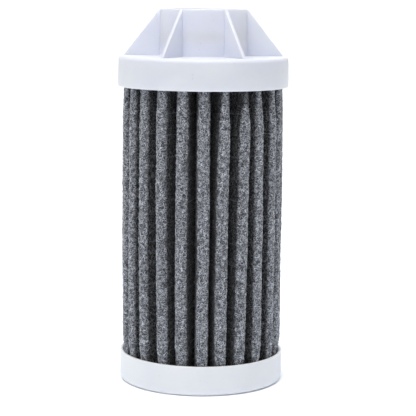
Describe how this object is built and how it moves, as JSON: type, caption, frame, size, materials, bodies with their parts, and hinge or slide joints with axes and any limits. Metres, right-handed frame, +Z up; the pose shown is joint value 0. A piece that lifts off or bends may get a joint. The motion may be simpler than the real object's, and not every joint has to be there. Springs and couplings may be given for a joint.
{
  "type": "inline water filter cartridge",
  "caption": "Pleated carbon felt filter cartridge: two white moulded end caps, the upper one with a ribbed central boss that plugs onto the housing's nozzle.",
  "frame": {"origin": "centre of the cartridge's base, at the underside of the bottom cap", "axes": "+Z up the cartridge's axis towards the boss, -Y the front as pictured, +X to its right"},
  "size_m": [0.064, 0.064, 0.1403],
  "materials": {
    "white_plastic": "satin white moulding",
    "natural_plastic": "uncoloured matt plastic",
    "carbon_felt": "matt grey needled felt",
    "sediment_membrane": "matt off-white fleece",
    "hot_melt": "set hot-melt adhesive",
    "black_rubber": "matt black"
  },
  "bodies": {
    "root": {"top_cap": "white_plastic", "bottom_cap": "white_plastic", "carbon_felt_pleats": "carbon_felt", "sediment_membrane_pleats": "sediment_membrane", "drainage_net_pleats": "natural_plastic", "core_tube": "natural_plastic", "top_adhesive_bed": "hot_melt", "bottom_adhesive_bed": "hot_melt", "media_seam": "hot_melt", "socket_seal_ring": "black_rubber"}
  },
  "joints": []
}
